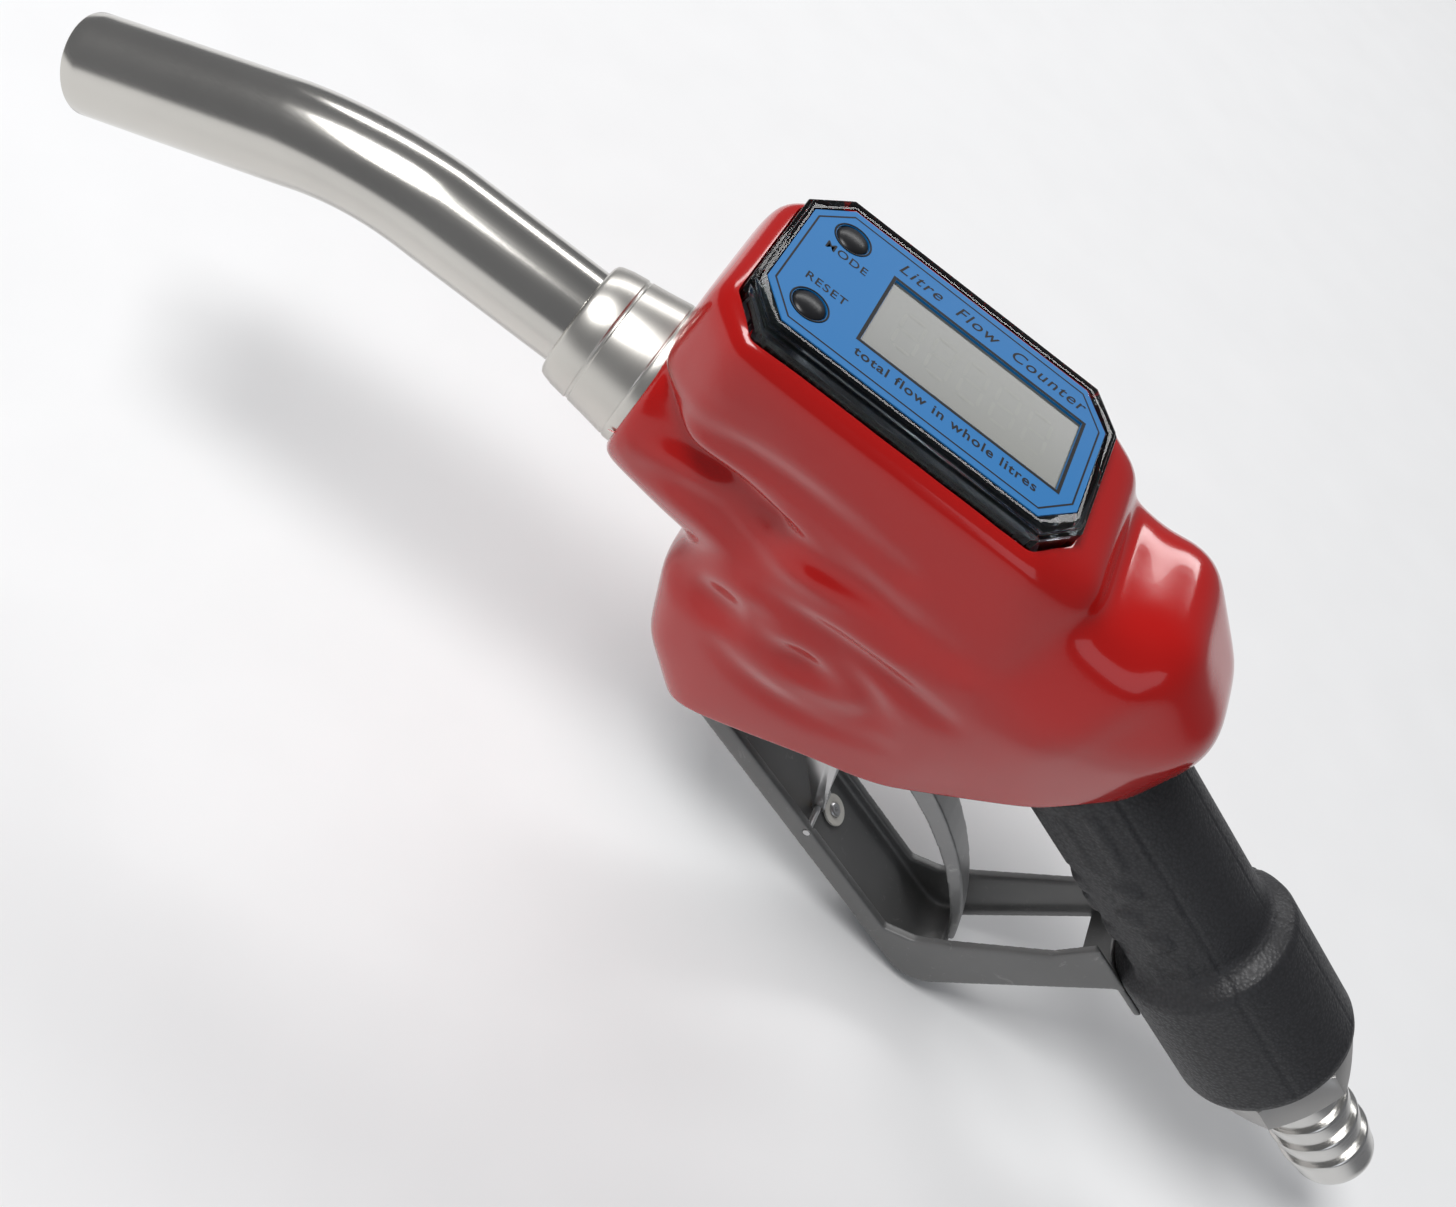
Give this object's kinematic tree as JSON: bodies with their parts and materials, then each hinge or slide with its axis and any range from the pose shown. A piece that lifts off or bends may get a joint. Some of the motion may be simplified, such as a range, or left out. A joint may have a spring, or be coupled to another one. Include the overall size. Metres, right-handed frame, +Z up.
{
  "type": "fuel nozzle",
  "caption": "Hand-held fuel nozzle with a bent spout, squeeze lever inside a guard, hold-open latch, soft cover, flow meter with display, and a barbed hose tail.",
  "frame": {"origin": "centre of the open end of the hose tail, where the hose joins", "axes": "+X towards the spout along the barrel, +Y to the left of a person holding the nozzle, +Z up out of the display"},
  "size_m": [0.4454, 0.066, 0.1663],
  "materials": {
    "casting": "cast, satin",
    "guard_metal": "satin grey",
    "lever_metal": "satin grey",
    "grip_rubber": "pebbled",
    "black_rubber": "smooth",
    "cover_red": "glossy soft skin",
    "spout_metal": "brushed",
    "collar_metal": "turned",
    "tail_metal": "turned",
    "steel": "plated",
    "brass": "turned",
    "clear": "clear moulded",
    "label_blue": "printed film",
    "lcd_grey": "liquid crystal glass",
    "board_green": "circuit board",
    "black_plastic": "moulded",
    "white_plastic": "moulded",
    "battery_wrap": "wrapped cell"
  },
  "bodies": {
    "nozzle": {"body_casting": "casting", "handle_grip": "grip_rubber", "inlet_screen": "steel", "valve_seat": "brass", "poppet_spring": "steel", "valve_cap": "brass", "cap_o_ring": "black_rubber", "stem_gland": "brass", "stem_o_ring": "black_rubber", "rotor_shaft": "steel", "front_support": "white_plastic", "rear_support": "white_plastic", "pickup_sensor": "black_plastic", "clear_shell": "clear", "label_plate": "label_blue", "lcd_panel": "lcd_grey", "circuit_board": "board_green", "switch_pair": "black_plastic", "battery_tray": "black_plastic", "battery_left": "battery_wrap", "battery_right": "battery_wrap", "battery_contacts": "steel", "module_gasket": "black_rubber", "module_screws": "steel", "spout_tube": "spout_metal", "spout_collar": "collar_metal", "spout_o_ring": "black_rubber", "guard_frame": "guard_metal", "guard_screws": "steel", "lever_pin": "steel", "lever_bushes": "white_plastic", "latch_pin": "steel", "latch_spring": "steel", "latch_rivet": "steel", "cover": "cover_red", "cover_studs": "black_plastic"},
    "valve": {"poppet": "steel", "poppet_seal": "black_rubber", "valve_stem": "steel"},
    "rotor": {"turbine_rotor": "white_plastic"},
    "lever": {"lever": "lever_metal"},
    "latch": {"latch": "steel"},
    "mode_button": {"mode_button": "black_rubber"},
    "reset_button": {"reset_button": "black_rubber"},
    "tail_carrier": {"tail_end_seal": "black_rubber"},
    "tail": {"hose_tail": "tail_metal", "tail_o_ring": "black_rubber"}
  },
  "joints": [
    {"name": "lever_squeeze", "type": "hinge", "parent": "nozzle", "child": "lever", "pos_m": [0.19136, 0, 0.03623], "axis": [0, 1, 0], "range_deg": [0, 22], "stiffness_Nm_per_rad": 0.6, "springref_deg": -11.46},
    {"name": "valve_lift", "type": "slide", "parent": "nozzle", "child": "valve", "axis": [0, 0, 1], "range_m": [0, 0.0051], "deforming": ["poppet_spring"]},
    {"name": "rotor_spin", "type": "hinge", "parent": "nozzle", "child": "rotor", "pos_m": [0.24586, 0, 0.07823], "axis": [1, 0, 0], "continuous": true},
    {"name": "latch_swing", "type": "hinge", "parent": "nozzle", "child": "latch", "pos_m": [0.17696, 0.0044, -0.00787], "axis": [0, 1, 0], "range_deg": [-20, 0], "stiffness_Nm_per_rad": 0.01, "springref_deg": 34.38},
    {"name": "mode_press", "type": "slide", "parent": "nozzle", "child": "mode_button", "axis": [0, 0, -1], "range_m": [0, 0.0008], "stiffness_N_per_m": 150, "springref_m": -0.0006},
    {"name": "reset_press", "type": "slide", "parent": "nozzle", "child": "reset_button", "axis": [0, 0, -1], "range_m": [0, 0.0008], "stiffness_N_per_m": 150, "springref_m": -0.0006},
    {"name": "tail_travel", "type": "slide", "parent": "nozzle", "child": "tail_carrier", "axis": [-0.9063, 0, -0.4226], "range_m": [0, 0.0161]},
    {"name": "tail_turn", "type": "hinge", "parent": "tail_carrier", "child": "tail", "pos_m": [0, 0, 0], "axis": [-0.9063, 0, -0.4226], "range_deg": [0, 2520]}
  ],
  "couplings": [
    {"joint": "valve_lift", "follows": "lever_squeeze", "m_per_rad": 0.013022},
    {"joint": "tail_turn", "follows": "tail_travel", "rad_per_m": 2721.2}
  ]
}
